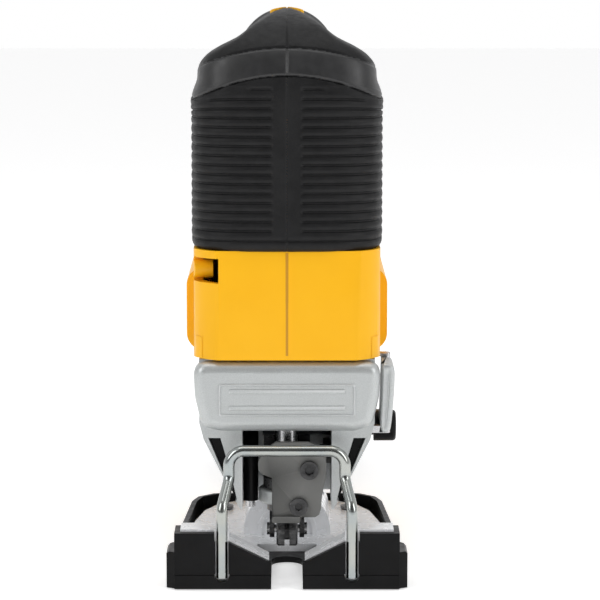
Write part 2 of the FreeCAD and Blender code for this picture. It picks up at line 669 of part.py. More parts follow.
def bearing(y0, outer):
    """Ball bearing shown as two races with balls between."""
    races = [tube(outer, outer - 1.4, (0, y0, MOTOR_Z), Y, 5.0), tube(4.0, 2.51, (0, y0, MOTOR_Z), Y, 5.0)]
    cage = tube(outer - 1.4, 4.0, (0, y0 + 1.4, MOTOR_Z), Y, 2.2)
    return fuse([*races, cage])


def field_can():
    """Steel can with four magnets inside."""
    can = tube(20.4, 18.4, (0, 19.0, MOTOR_Z), Y, 40.0)
    lip = tube(20.4, 9.0, (0, 57.8, MOTOR_Z), Y, 1.4)
    magnets = tube(18.4, 12.8, (0, 24.0, MOTOR_Z), Y, 30.0)
    gaps = [box(-30, 30, 20, 58, MOTOR_Z - 1.6, MOTOR_Z + 1.6), box(-1.6, 1.6, 20, 58, MOTOR_Z - 30, MOTOR_Z + 30)]
    return fuse([can, lip, cut(magnets, *gaps).common(cyl(18.41, (0, 0, MOTOR_Z), Y, 90))])


def motor_cradle():
    """Two ribs and a rear plate that hold the can and the rear bearing in the housing."""
    ribs = []
    for y0 in (28.0, 46.0):
        rib = box(-26, 26, y0, y0 + 2.4, 80.0, 122.0).cut(cyl(20.42, (0, 0, MOTOR_Z), Y, 100))
        ribs.append(rib)
    tie = box(-26, -23.4, 28.0, 77.4, 84, 112)
    plate = box(-26, 26, 74.0, 77.4, 80.0, 122.0).cut(cyl(8.02, (0, 60, MOTOR_Z), Y, 40))
    return fuse([*ribs, tie, mirror_x(tie), plate])


def brushes():
    """Pair of carbon brushes in brass holders."""
    items = []
    for s in (1, -1):
        carbon = box(6.95, 13.6, 62.4, 67.6, MOTOR_Z - 2.4, MOTOR_Z + 2.4)
        holder = box(9.2, 15.4, 61.0, 69.0, MOTOR_Z - 3.8, MOTOR_Z + 3.8).cut(box(0, 13.6, 62.4, 67.6, MOTOR_Z - 2.4, MOTOR_Z + 2.4))
        arm = box(12.0, 22.0, 69.0, 74.0, MOTOR_Z - 2.0, MOTOR_Z + 2.0)
        pair = fuse([carbon, holder, arm])
        items.append(pair if s > 0 else mirror_x(pair))
    return Part.Compound(items)


# ---- blade guide, fork and selector ------------------------------------
def guide_plate():
    """Grey bracket in front of the clamp, bolted to the inside of the left leg."""
    outline = [
        (-5.4, 20.6), (4.8, 20.6), (5.6, 22.4), (10.2, 22.4), (11.6, 23.4), (12.2, 25.4), (12.6, 30.0),
        (13.9, 37.0), (14.1, 41.0), (13.0, 45.0), (10.4, 48.6), (7.6, 49.8), (-4.0, 49.8), (-6.0, 48.4),
        (-7.4, 45.6), (-9.6, 44.2), (-10.4, 42.4), (-10.3, 40.0), (-9.0, 38.2), (-5.4, 36.8),
    ]
    plate = prism_y(outline, -48.4, -46.2)
    arm = box(12.0, 14.1, -48.4, -24.0, 38.0, 44.6)
    tab = box(13.4, 16.1, -26.0, -12.0, 38.0, 44.6)
    pad = rounded(box(-5.4, 4.8, -50.0, -48.4, 20.6, 22.9), 0.6, Y)
    link = box(12.0, 16.1, -27.0, -24.0, 38.0, 44.6)
    holes = [cyl(1.6, (8.0, -60, 39.8), Y, 30), cyl(1.6, (4.2, -60, 26.4), Y, 30)]
    return cut(fuse([plate, arm, tab, pad, link]), *holes)


def guide_screws():
    """Socket screw and button screw on the bracket, and the nut bar behind them."""
    cap = screw((8.0, -48.4, 39.8), Y, 1.6, 3.6, 3.4, 2.0, 1.7)
    button = screw((4.2, -48.4, 26.4), Y, 1.6, 3.6, 3.3, 1.7, 1.4)
    return Part.Compound([cap, button])


def blower_tube():
    """Plastic tube that blows dust off the cut line."""
    path = [(-13.2, -30.0, 25.0), (-13.2, -30.0, 45.0), (-13.2, -18.0, 51.5), (-13.2, -9.2, 51.5)]
    outer = sweep_wire(path, 2.75, [7.0, 5.0])
    return outer.cut(sweep_wire(path, 1.6, [7.0, 5.0]))


def blower_tip():
    """Brass nozzle at the end of the tube."""
    return tube(1.58, 0.9, (-13.2, -30.0, 22.6), Z, 7.0)


def orbit_fork():
    """Swinging fork that carries the guide roller behind the blade."""
    side = [(-9.5, 58.8), (-11.5, 59.5), (-13.5, 59.5), (-15.4, 58.6), (-15.4, 40.0), (-18.6, 27.0), (-27.0, 17.0),
            (-27.6, 12.0), (-25.4, 9.8), (-22.8, 10.0), (-21.2, 12.0), (-21.2, 15.4), (-13.0, 27.0), (-10.2, 40.0)]
    arm = prism_x(side, 4.6, 6.4)
    wide = prism_x([(y, z) for y, z in side if z > 26.5] + [], 5.2, 8.6)
    arms = arm.fuse(wide)
    both = arms.fuse(mirror_x(arms))
    web = box(-8.6, 8.6, -13.4, -10.4, 42.0, 50.0)
    bores = [cyl(2.05, (-30, FORK_Y, FORK_Z), X, 60), cyl(1.52, (-30, ROLLER_Y, ROLLER_Z), X, 60)]
    return cut(fuse([both, web]), *bores)


def fork_pin():
    return cyl(2.0, (-19.4, FORK_Y, FORK_Z), X, 38.8)


def roller_pin():
    """Pin through the fork, with a thin head at each end."""
    pin = cyl(1.5, (-6.4, ROLLER_Y, ROLLER_Z), X, 12.8)
    heads = [cyl(2.3, (6.4, ROLLER_Y, ROLLER_Z), X, 1.0), cyl(2.3, (-7.4, ROLLER_Y, ROLLER_Z), X, 1.0)]
    return fuse([pin, *heads])


def guide_roller():
    """Grooved roller that backs the blade."""
    wheel = cyl(ROLLER_R, (-3.9, ROLLER_Y, ROLLER_Z), X, 7.8)
    rims = [e for e in wheel.Edges if e.Length > 35 and abs(abs(e.CenterOfMass.x) - 3.9) < 1e-3]
    wheel = wheel.makeChamfer(0.6, rims)
    groove = tube(20, ROLLER_R - 2.2, (-0.9, ROLLER_Y, ROLLER_Z), X, 1.8)
    return cut(wheel, groove, cyl(1.53, (-10, ROLLER_Y, ROLLER_Z), X, 20))


def orbit_selector():
    """Side knob with its shaft and the flat that limits the fork."""
    shaft = cyl(3.55, (-9.0, CAM_Y, CAM_Z), X, 41.0)
    flat = box(-9.1, 9.0, CAM_Y + 2.0, CAM_Y + 5, CAM_Z - 5, CAM_Z + 5)
    knob = cyl(5.7, (31.9, CAM_Y, CAM_Z), X, 8.2)
    paddle = box(31.9, 39.2, CAM_Y, CAM_Y + 12, CAM_Z - 4.4, CAM_Z + 4.4)
    paddle = rounded(paddle, 3.0, X, lambda p: p.y > CAM_Y + 5)
    knob = knob.makeFillet(1.2, [e for e in knob.Edges if abs(e.CenterOfMass.x - 40.1) < 1e-3])
    body = fuse([knob, paddle])
    return fuse([shaft.cut(flat), body])


def blade_lever():
    """Side lever that turns the clamp collar, with a raised frame on its face."""
    outline = [
        (34.3, 53.2), (36.9, 54.4), (37.5, 60.0), (38.2, 70.0), (38.6, 74.6), (37.4, 77.2), (34.6, 78.0),
    ]
    plate = prism_y(outline, -46.0, LEVER_Y + 2.4)
    plate = plate.makeFillet(1.0, edges_along(plate, Z, lambda p: p.x > 36)) if edges_along(plate, Z) else plate
    dish = prism_y([(37.0, 59.0), (40.0, 59.0), (40.0, 72.0), (37.8, 72.0)], -43.6, LEVER_Y - 1.5)
    bore = cyl(1.55, (LEVER_X, LEVER_Y, 40), Z, 60)
    relief = box(34.0, 35.0, -47, -40, 60, 72)
    return cut(plate, dish, bore, relief)


def lever_pin():
    """Hinge pin of the blade lever and the two lugs that hold it."""
    pin = cyl(1.5, (LEVER_X, LEVER_Y, 50.6), Z, 28.8)
    low = box(29.0, 37.6, LEVER_Y - 2.4, LEVER_Y + 2.4, 50.0, 52.6)
    low = rounded(low, 1.2, Z, lambda p: p.x > 36).cut(prism_y(mirrored(LEG_OUTLINE), -44, 4))
    high = rounded(box(31.6, 37.6, LEVER_Y - 2.4, LEVER_Y + 2.4, 78.3, 79.4), 1.2, Z, lambda p: p.x > 36)
    return fuse([pin, low, high])


# ---- bevel clamp --------------------------------------------------------
def bevel_bolt():
    """Bolt through the seat's arc slot, with the curved nut block under the arch."""
    block = tube(BOSS_IN - 0.35, 7.6, (0, BOLT_Y - 7.0, TILT_Z), Y, 14.0)
    block = block.common(prism_y([(0, TILT_Z), (9.0, TILT_Z + 30), (-9.0, TILT_Z + 30)], 0, 60))
    shank = cyl(2.55, (0, BOLT_Y, TILT_Z + 8.0), Z, 27.0)
    cap = tube(4.4, 2.5, (0, BOLT_Y, 38.4), Z, 2.6)
    return fuse([block, shank, cap])


def bevel_lever():
    """Clamp lever on the bolt, reaching back under the motor."""
    hub = cyl(7.0, (0, BOLT_Y, 33.6), Z, 4.5)
    arm = box(-4.5, 4.5, BOLT_Y, 56.0, 33.8, 37.8)
    arm = rounded(arm, 3.0, Z, lambda p: p.y > 50)
    tip = rounded(box(-5.5, 5.5, 50.0, 62.0, 33.3, 39.2), 3.0, Z)
    lever = fuse([hub, arm, tip])
    return lever.cut(cyl(2.58, (0, BOLT_Y, 20), Z, 30))


# ---- controls and electrics --------------------------------------------
def trigger():
    """Finger trigger under the front of the handle."""
    blade = box(-8.0, 8.0, 12.0, 44.0, 161.5, 172.0)
    scoop = cyl(26.0, (-30, 28.0, 139.0), X, 60)
    body = rounded(blade, 2.5, Z).cut(scoop)
    stem = box(-3.0, 3.0, 24.0, 32.0, 171.0, 174.0)
    return fuse([body, stem])


def switch():
    """Switch module behind the trigger."""
    return rounded(box(-8.5, 8.5, 13.0, 44.9, 179.6, 195.0), 1.5, Y)


def lock_button():
    """Cross button that blocks the trigger."""
    pin = cyl(4.9, (-18.6, 56, 186), X, 37.2)
    neck = tube(6.0, 3.6, (-3.0, 56, 186), X, 6.0)
    ends = [e for e in pin.Edges if e.Length > 25 and abs(abs(e.CenterOfMass.x) - 18.6) < 1e-3]
    return cut(pin.makeFillet(1.0, ends), neck)


def controller():
    """Electronics board with a heat spreader in the foot."""
    board = box(-24, 24, 114.0, 152.0, 109.6, 111.2)
    parts = [box(-18, -8, 124, 138, 111.2, 114.4), box(2, 16, 126, 136, 111.2, 113.8), box(-14, -4, 142, 150, 111.2, 113.6)]
    return fuse([board, *parts])


def leads():
    """Two insulated leads down the rear post, from the switch to the board."""
    items = []
    for s in (1, -1):
        path = [
            (s * 3.2, 45.1, 193.0), (s * 3.2, 78.0, 192.8), (s * 3.2, 104.0, 178.0),
            (s * 3.2, 115.0, 148.0), (s * 3.2, 113.0, 124.0), (s * 3.2, 124.0, 115.2),
        ]
        items.append(sweep_wire(path, 1.1, [10.0, 10.0, 12.0, 6.0]))
    return Part.Compound(items)


def pack_contacts():
    """Terminal block at the front of the rail slot."""
    block = box(-14, 14, 94.0, 98.0, 98.6, 106.4)
    blades = [box(x - 0.5, x + 0.5, 98.0, 106.0, 99.6, 104.0) for x in (-10, -3.4, 3.4, 10)]
    return fuse([block, *blades])


# ---- battery ------------------------------------------------------------
def pack_body():
    return soft_box(-PACK_HALF, PACK_HALF, PACK_Y0, PACK_Y1, PACK_Z0, PACK_Z1, 9.0, 2.5)


def pack_upper():
    """Upper half of the case with its rails."""
    top = pack_body().common(box(-60, 60, 60, 230, 74.0, 120))
    stem = box(-17.6, 17.6, PACK_Y0 + 6, 176.0, 95.0, 101.6)
    rails = box(-23.6, 23.6, PACK_Y0 + 6, 176.0, 101.5, 106.0)
    rails = rounded(rails, 2.0, Z)
    hollow = box(-PACK_HALF + 2.5, PACK_HALF - 2.5, PACK_Y0 + 2.5, PACK_Y1 - 2.5, 73, PACK_Z1 - 2.5)
    hollow = rounded(hollow, 5.0, Z)
    slots = [box(x - 1.0, x + 1.0, 90, 112.0, 99.0, 104.6) for x in (-10, -3.4, 3.4, 10)]
    well = soft_box(-13.2, 13.2, 179.4, 196.2, 85.0, 110, 2.0)
    block_room = box(-15, 15, 90, 99.4, 98.0, 110)
    return cut(fuse([top, stem, rails]), hollow, well, block_room, *slots)


def pack_lower():
    low = pack_body().common(box(-60, 60, 60, 230, 40, 74.0))
    hollow = box(-PACK_HALF + 2.5, PACK_HALF - 2.5, PACK_Y0 + 2.5, PACK_Y1 - 2.5, PACK_Z0 + 2.5, 75)
    return low.cut(rounded(hollow, 5.0, Z))


def pack_cells():
    """Two layers of five cells across the pack."""
    items = []
    for row in (59.6, 80.4):
        for k in range(5):
            items.append(cyl(9.2, (-30.0, 105.2 + 20.2 * k, row), X, 60))
    tray = box(-29, 29, 101, 190, 68.6, 71.4)
    return fuse([*items, tray])


def pack_latch():
    """Push button at the rear of the pack."""
    button = soft_box(-12.8, 12.8, 179.8, 195.8, 92.9, 97.7, 1.8, 0.8)
    return button


def pack_terminals():
    """Spring contacts inside the pack's slots."""
    items = []
    for x in (-10, -3.4, 3.4, 10):
        for s in (1, -1):
            items.append(box(x + s * 0.62 - 0.1, x + s * 0.62 + 0.1, 106.5, 110.5, 99.4, 104.2))
    return Part.Compound(items)


# ---- write every piece --------------------------------------------------
PIECES = {
    "shoe_plate": shoe_plate,
    "overshoe": overshoe,
    "finger_guard": finger_guard,
    "shoe_screws": shoe_screws,
    "gear_case": gear_case,
    "case_lid": case_lid,
    "front_cover": front_cover,
    "cover_screws": cover_screws,
    "housing_screws": housing_screws,
    "plunger": plunger,
    "crank_roller": crank_roller,
    "clamp_body": clamp_body,
    "clamp_collar": clamp_collar,
    "clamp_spring": clamp_spring,
    "bush_lower": bush_lower,
    "bush_upper": bush_upper,
    "felt_seal": felt_seal,
    "drive_gear": drive_gear,
    "gear_shaft": gear_shaft,
    "rotor": rotor,
    "bearing_front": lambda: bearing(-2.4, 8.0),
    "bearing_rear": lambda: bearing(73.0, 8.0),
    "field_can": field_can,
    "motor_cradle": motor_cradle,
    "brushes": brushes,
    "guide_plate": guide_plate,
    "guide_screws": guide_screws,
    "blower_tube": blower_tube,
    "blower_tip": blower_tip,
    "orbit_fork": orbit_fork,
    "fork_pin": fork_pin,
    "roller_pin": roller_pin,
    "guide_roller": guide_roller,
    "orbit_selector": orbit_selector,
    "blade_lever": blade_lever,
    "lever_pin": lever_pin,
    "bevel_bolt": bevel_bolt,
    "bevel_lever": bevel_lever,
    "trigger": trigger,
    "switch": switch,
    "lock_button": lock_button,
    "controller": controller,
    "leads": leads,
    "pack_contacts": pack_contacts,
    "pack_upper": pack_upper,
    "pack_lower": pack_lower,
    "pack_cells": pack_cells,
    "pack_latch": pack_latch,
    "pack_terminals": pack_terminals,
}


def write_all():
    os.makedirs("parts", exist_ok=True)
    shapes = {name: make() for name, make in PIECES.items()}
    shapes.update(make_housing())
    for name, shape in shapes.items():
        shape.exportStep("parts/" + name + ".step")


write_all()
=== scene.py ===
import json
import math

import bmesh
import bpy
from mathutils import Matrix, Vector


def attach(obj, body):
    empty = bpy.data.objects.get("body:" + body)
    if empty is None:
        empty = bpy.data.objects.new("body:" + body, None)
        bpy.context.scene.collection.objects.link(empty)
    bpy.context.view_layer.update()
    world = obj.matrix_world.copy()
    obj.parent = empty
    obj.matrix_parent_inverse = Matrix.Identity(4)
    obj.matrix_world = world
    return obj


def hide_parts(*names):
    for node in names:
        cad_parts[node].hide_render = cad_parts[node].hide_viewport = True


MM = 0.001
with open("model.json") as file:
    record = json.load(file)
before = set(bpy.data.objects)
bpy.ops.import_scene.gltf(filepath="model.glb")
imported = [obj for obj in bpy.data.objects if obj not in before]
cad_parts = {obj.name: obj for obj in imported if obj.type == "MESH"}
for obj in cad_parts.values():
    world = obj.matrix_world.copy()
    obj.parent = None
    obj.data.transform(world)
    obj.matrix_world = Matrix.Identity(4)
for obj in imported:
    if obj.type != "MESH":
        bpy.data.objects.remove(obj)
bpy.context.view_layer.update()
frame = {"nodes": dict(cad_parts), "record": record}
nodes = frame["nodes"]
body_of_node = {n: b for b, ns in frame["record"]["behaviour"]["bodies"].items() for n in ns}
slot_of_node = {s["node"]: s["material_slot"] for s in frame["record"]["subparts"]}
# Nodes whose look differs from the other pieces of their slot.
FINISH = {"guide_plate": "bracket_grey", "blower_tip": "steel"}


# ---------------------------------------------------------------- materials
class Shader:
    """Small helper for building one procedural material."""

    def __init__(self, name, color, metallic=0.0, roughness=0.5):
        self.mat = bpy.data.materials.new(name)
        self.mat.use_nodes = True
        self.tree = self.mat.node_tree
        self.bsdf = self.tree.nodes["Principled BSDF"]
        self.bsdf.inputs["Metallic"].default_value = metallic
        self.bsdf.inputs["Roughness"].default_value = roughness
        self.bsdf.inputs["Base Color"].default_value = (*color, 1)
        self.color, self.rough = color, roughness
        self.coords = self.tree.nodes.new("ShaderNodeTexCoord").outputs["Object"]
        self.height = None

    def link(self, a, b):
        self.tree.links.new(a, b)

    def noise(self, size, detail=3.0, stretch=(1, 1, 1)):
        """Noise whose features are about size millimetres across."""
        mapping = self.tree.nodes.new("ShaderNodeMapping")
        mapping.inputs["Scale"].default_value = stretch
        self.link(self.coords, mapping.inputs["Vector"])
        tex = self.tree.nodes.new("ShaderNodeTexNoise")
        tex.inputs["Scale"].default_value = 1 / (size * MM)
        tex.inputs["Detail"].default_value = detail
        self.link(mapping.outputs["Vector"], tex.inputs["Vector"])
        return tex.outputs["Fac"]

    def cells(self, size):
        """Pebbled grain with cells about size millimetres across."""
        tex = self.tree.nodes.new("ShaderNodeTexVoronoi")
        tex.inputs["Scale"].default_value = 1 / (size * MM)
        self.link(self.coords, tex.inputs["Vector"])
        return tex.outputs["Distance"]

    def ramp(self, value, low, high, a=0.35, b=0.65):
        """Map a value's a..b range onto low..high."""
        node = self.tree.nodes.new("ShaderNodeMapRange")
        node.inputs["From Min"].default_value = a
        node.inputs["From Max"].default_value = b
        node.inputs["To Min"].default_value = low
        node.inputs["To Max"].default_value = high
        self.link(value, node.inputs["Value"])
        return node.outputs["Result"]

    def vary_rough(self, size, amount, stretch=(1, 1, 1)):
        """Let the roughness wander by amount either way."""
        value = self.noise(size, 4.0, stretch)
        out = self.ramp(value, self.rough - amount, self.rough + amount)
        self.link(out, self.bsdf.inputs["Roughness"])
        return self

    def vary_color(self, size, other):
        """Drift between the base colour and another in patches about size millimetres across."""
        value = self.noise(size, 4.0)
        mix = self.tree.nodes.new("ShaderNodeMix")
        mix.data_type = "RGBA"
        mix.inputs[6].default_value = (*self.color, 1)
        mix.inputs[7].default_value = (*other, 1)
        self.link(self.ramp(value, 0.0, 1.0), mix.inputs[0])
        self.link(mix.outputs[2], self.bsdf.inputs["Base Color"])
        return self

    def bump(self, value, strength, depth):
        """Add a relief of depth millimetres on top of any earlier one."""
        node = self.tree.nodes.new("ShaderNodeBump")
        node.inputs["Strength"].default_value = strength
        node.inputs["Distance"].default_value = depth * MM
        self.link(value, node.inputs["Height"])
        if self.height is not None:
            self.link(self.height, node.inputs["Normal"])
        self.height = node.outputs["Normal"]
        self.link(self.height, self.bsdf.inputs["Normal"])
        return self

    def painted_edge_highlight(self, tint, amount=0.5):
        """Painted edge highlight: lighter colour where the surface is sharply convex."""
        geo = self.tree.nodes.new("ShaderNodeNewGeometry")
        value = self.ramp(geo.outputs["Pointiness"], 0.0, amount, 0.53, 0.62)
        mix = self.tree.nodes.new("ShaderNodeMix")
        mix.data_type = "RGBA"
        links = self.bsdf.inputs["Base Color"].links
        if links:
            self.link(links[0].from_socket, mix.inputs[6])
        else:
            mix.inputs[6].default_value = (*self.color, 1)
        mix.inputs[7].default_value = (*tint, 1)
        self.link(value, mix.inputs[0])
        self.link(mix.outputs[2], self.bsdf.inputs["Base Color"])
        return self


def make_materials():
    """One procedural material for each slot of the record, and a few finishes."""
    m = {}
    s = Shader("soft_grip", (0.0075, 0.0075, 0.008), 0, 0.50)
    s.bsdf.inputs["Specular IOR Level"].default_value = 0.21
    s.vary_rough(2.2, 0.06).vary_color(6.0, (0.0115, 0.0115, 0.012))
    s.bump(s.cells(0.42), 0.55, 0.06).bump(s.noise(0.2, 2.0), 0.3, 0.03)
    m["grip_rubber"] = s.mat
    s = Shader("smooth_black", (0.0042, 0.0042, 0.0045), 0, 0.34)
    s.bsdf.inputs["Specular IOR Level"].default_value = 0.13
    s.vary_rough(3.0, 0.06).vary_color(9.0, (0.0065, 0.0065, 0.007))
    s.bump(s.noise(0.25, 2.0), 0.16, 0.03)
    m["black_plastic"] = s.mat
    s = Shader("satin_black", (0.017, 0.017, 0.0175), 0, 0.42)
    s.vary_rough(3.0, 0.05).vary_color(9.0, (0.021, 0.021, 0.022))
    s.bump(s.noise(0.25, 2.0), 0.14, 0.03)
    m["satin_black"] = s.mat
    s = Shader("parting_amber", (0.56, 0.25, 0.006), 0, 0.5)
    s.vary_rough(2.0, 0.04).bump(s.noise(0.3, 2.0), 0.1, 0.03)
    m["parting_amber"] = s.mat
    s = Shader("bracket_grey", (0.046, 0.047, 0.045), 0.15, 0.5)
    # The lighter grey on sharp convex edges is a painted edge highlight.
    s.vary_rough(1.5, 0.06).vary_color(0.4, (0.056, 0.057, 0.054)).painted_edge_highlight((0.3, 0.3, 0.29))
    s.bump(s.noise(0.4, 3.0), 0.2, 0.04)
    m["bracket_grey"] = s.mat
    s = Shader("amber_shell", (0.93, 0.468, 0.008), 0, 0.34)
    s.bsdf.inputs["Specular IOR Level"].default_value = 0.20
    s.vary_rough(2.5, 0.04).vary_color(14.0, (0.945, 0.485, 0.010))
    s.bump(s.noise(0.22, 2.0), 0.14, 0.03).bump(s.noise(9.0, 1.0), 0.05, 0.2)
    m["shell_colour"] = s.mat
    s = Shader("cast_silver", (0.47, 0.49, 0.49), 0.55, 0.40)
    s.vary_rough(1.6, 0.05).vary_color(0.35, (0.54, 0.56, 0.56))
    s.bump(s.noise(0.45, 3.0), 0.16, 0.04).bump(s.noise(4.0, 1.0), 0.05, 0.12)
    # The near-white on sharp convex edges of the casting is a painted edge highlight.
    s.painted_edge_highlight((0.72, 0.73, 0.74))
    m["cast_metal"] = s.mat
    s = Shader("plate_alloy", (0.90, 0.91, 0.93), 0.18, 0.26)
    s.vary_rough(6.0, 0.05).vary_color(5.0, (0.91, 0.92, 0.94))
    s.bump(s.noise(0.9, 2.0), 0.04, 0.03)
    m["plate_metal"] = s.mat
    s = Shader("zinc_wire", (0.36, 0.39, 0.395), 1.0, 0.20)
    s.vary_rough(4.0, 0.04).vary_color(9.0, (0.42, 0.435, 0.41))
    s.bump(s.noise(1.2, 2.0), 0.05, 0.02)
    m["guard_wire"] = s.mat
    s = Shader("ground_steel", (0.52, 0.52, 0.53), 1.0, 0.26)
    s.vary_rough(1.0, 0.08, (1, 1, 7)).bump(s.noise(0.35, 2.0, (1, 1, 9)), 0.12, 0.03)
    m["steel"] = s.mat
    s = Shader("black_steel", (0.030, 0.030, 0.031), 0.8, 0.34)
    # The grey on sharp convex edges of the black steel is a painted edge highlight.
    s.vary_rough(1.2, 0.08).vary_color(1.8, (0.05, 0.05, 0.051)).painted_edge_highlight((0.30, 0.30, 0.30))
    s.bump(s.noise(0.4, 3.0), 0.15, 0.03)
    m["dark_steel"] = s.mat
    s = Shader("sintered_bronze", (0.36, 0.22, 0.09), 0.9, 0.42)
    s.vary_color(0.5, (0.46, 0.30, 0.13)).bump(s.noise(0.3, 2.0), 0.3, 0.03)
    m["bronze"] = s.mat
    s = Shader("turned_brass", (0.60, 0.42, 0.14), 1.0, 0.28)
    s.vary_rough(0.8, 0.07).bump(s.noise(0.3, 2.0, (1, 1, 8)), 0.1, 0.02)
    m["brass"] = s.mat
    s = Shader("wool_felt", (0.10, 0.10, 0.105), 0, 0.95)
    s.bump(s.noise(0.3, 5.0), 0.9, 0.2)
    m["felt"] = s.mat
    s = Shader("enamelled_copper", (0.42, 0.16, 0.06), 0.8, 0.34)
    s.vary_color(1.0, (0.30, 0.11, 0.05)).bump(s.noise(0.5, 2.0, (1, 8, 1)), 0.4, 0.1)
    m["copper"] = s.mat
    s = Shader("circuit_board", (0.01, 0.09, 0.03), 0, 0.4)
    s.vary_color(2.0, (0.012, 0.13, 0.045)).bump(s.cells(1.5), 0.1, 0.05)
    m["board"] = s.mat
    s = Shader("red_insulation", (0.42, 0.016, 0.012), 0, 0.42)
    s.vary_rough(2.0, 0.05).bump(s.noise(0.6, 2.0), 0.1, 0.05)
    m["lead_red"] = s.mat
    s = Shader("cell_sleeve", (0.02, 0.12, 0.10), 0, 0.25)
    s.vary_rough(4.0, 0.08).bump(s.noise(2.0, 2.0), 0.08, 0.1)
    m["cell_wrap"] = s.mat
    s = Shader("pressed_carbon", (0.02, 0.02, 0.021), 0.1, 0.6)
    s.bump(s.noise(0.25, 3.0), 0.3, 0.04)
    m["carbon"] = s.mat
    return m


MATS = make_materials()


# ---------------------------------------------------------------- mesh tools
def mesh_from(bm, name):
    """Turn an edit mesh into a mesh and free it."""
    mesh = bpy.data.meshes.new(name)
    bm.to_mesh(mesh)
    bm.free()
    return mesh


def linked(name, data):
    """New object in the scene."""
    obj = bpy.data.objects.new(name, data)
    bpy.context.scene.collection.objects.link(obj)
    return obj


def shade_smooth(mesh):
    for poly in mesh.polygons:
        poly.use_smooth = True


def add_object(name, mesh, node_names, slots):
    """Piece that stands for CAD nodes, rides on their body and takes their finish."""
    obj = linked(name, mesh)
    for slot in slots:
        mesh.materials.append(MATS[slot])
    shade_smooth(mesh)
    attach(obj, body_of_node[node_names[0]])
    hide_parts(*node_names)
    return obj


def apply_modifiers(obj):
    """Replace the object's mesh by its evaluated one."""
    dg = bpy.context.evaluated_depsgraph_get()
    mesh = bpy.data.meshes.new_from_object(obj.evaluated_get(dg))
    old = obj.data
    obj.modifiers.clear()
    obj.data = mesh
    bpy.data.meshes.remove(old)


BEVEL_FROM_DEG, SHARP_FROM_DEG = 32, 34


def softened(node, width):
    """The node's own shape with every sharp edge rounded off by a small radius."""
    mesh = nodes[node].data.copy()
    bm = bmesh.new()
    bm.from_mesh(mesh)
    bmesh.ops.remove_doubles(bm, verts=bm.verts, dist=2e-6)
    bmesh.ops.dissolve_limit(bm, angle_limit=math.radians(1.5), verts=bm.verts, edges=bm.edges)
    bm.to_mesh(mesh)
    bm.free()
    mesh.materials.clear()
    obj = add_object(node + "_finished", mesh, [node], [FINISH.get(node, slot_of_node[node])])
    mod = obj.modifiers.new("edge", "BEVEL")
    mod.width = width * MM
    mod.segments = 2
    mod.limit_method = "ANGLE"
    mod.angle_limit = math.radians(BEVEL_FROM_DEG)
    mod.use_clamp_overlap = True
    mod.harden_normals = False
    even = obj.modifiers.new("even", "WEIGHTED_NORMAL")
    even.keep_sharp = True
    apply_modifiers(obj)
    obj.data.set_sharp_from_angle(angle=math.radians(SHARP_FROM_DEG))


# ---------------------------------------------------------------- studio
def light_studio(tree):
    """White surround seen directly; as a light it is dim in front and bright behind and at the sides."""
    background = tree.nodes["Background"]
    background.inputs["Strength"].default_value = 1.0
    coords = tree.nodes.new("ShaderNodeTexCoord")
    split = tree.nodes.new("ShaderNodeSeparateXYZ")
    tree.links.new(coords.outputs["Generated"], split.inputs[0])
    ramp = tree.nodes.new("ShaderNodeValToRGB")
    level = tree.nodes.new("ShaderNodeMapRange")
    level.inputs["From Min"].default_value, level.inputs["From Max"].default_value = -1, 1
    tree.links.new(split.outputs["Y"], level.inputs["Value"])
    tree.links.new(level.outputs["Result"], ramp.inputs["Fac"])
    stops = ramp.color_ramp.elements
    stops[0].position, stops[0].color = 0.0, (0.10, 0.10, 0.10, 1)
    stops[1].position, stops[1].color = 1.0, (0.85, 0.85, 0.86, 1)
    for place, value in ((0.12, 0.12), (0.34, 0.36), (0.55, 0.72)):
        stop = stops.new(place)
        stop.color = (value, value, value, 1)
    seen = tree.nodes.new("ShaderNodeLightPath")
    mix = tree.nodes.new("ShaderNodeMix")
    mix.data_type = "RGBA"
    tree.links.new(seen.outputs["Is Camera Ray"], mix.inputs[0])
    tree.links.new(ramp.outputs["Color"], mix.inputs[6])
    mix.inputs[7].default_value = (1, 1, 1, 1)
    tree.links.new(mix.outputs[2], background.inputs["Color"])


AIM = Vector((0, 0, 0.1))               # what the lights point at
CAMERA_AT, CAMERA_DOWN_DEG = (0, -1.024, 0.2368), 7.9
CAMERA_LENS, SENSOR, CAMERA_SHIFT = 165.84, 36.0, 0.0217


def make_studio():
    """Pale floor, white surround, three soft lights and the camera."""
    bpy.ops.mesh.primitive_plane_add(size=8, location=(0, 0, -0.0002))
    floor = bpy.context.object
    floor.name = "floor"
    s = Shader("pale_floor", (0.93, 0.93, 0.93), 0, 0.8)
    s.bsdf.inputs["Emission Color"].default_value = (1, 1, 1, 1)
    s.bsdf.inputs["Emission Strength"].default_value = 0.42
    s.vary_rough(40, 0.03)
    floor.data.materials.append(s.mat)
    world = bpy.context.scene.world or bpy.data.worlds.new("World")
    bpy.context.scene.world = world
    world.use_nodes = True
    light_studio(world.node_tree)

    def area(name, place, size, power):
        light = bpy.data.lights.new(name, "AREA")
        light.shape = "RECTANGLE"
        light.size, light.size_y = size
        light.energy = power
        obj = linked(name, light)
        obj.location = place
        obj.rotation_euler = (AIM - Vector(place)).to_track_quat("-Z", "Y").to_euler()

    area("key_left", (-0.9, -0.8, 0.75), (0.5, 0.9), 5.0)
    area("key_right", (0.9, -0.7, 0.6), (0.5, 0.9), 4.6)
    area("top_box", (0, -0.1, 1.2), (0.9, 0.7), 3.0)
    cam = bpy.data.cameras.new("camera")
    cam.lens, cam.sensor_width = CAMERA_LENS, SENSOR
    cam.shift_x = CAMERA_SHIFT
    cam.clip_start, cam.clip_end = 0.05, 20
    obj = linked("camera", cam)
    obj.location = CAMERA_AT
    obj.rotation_euler = (math.radians(90 - CAMERA_DOWN_DEG), 0, 0)
    bpy.context.scene.camera = obj
    bpy.context.scene.view_settings.view_transform = "Standard"


make_studio()


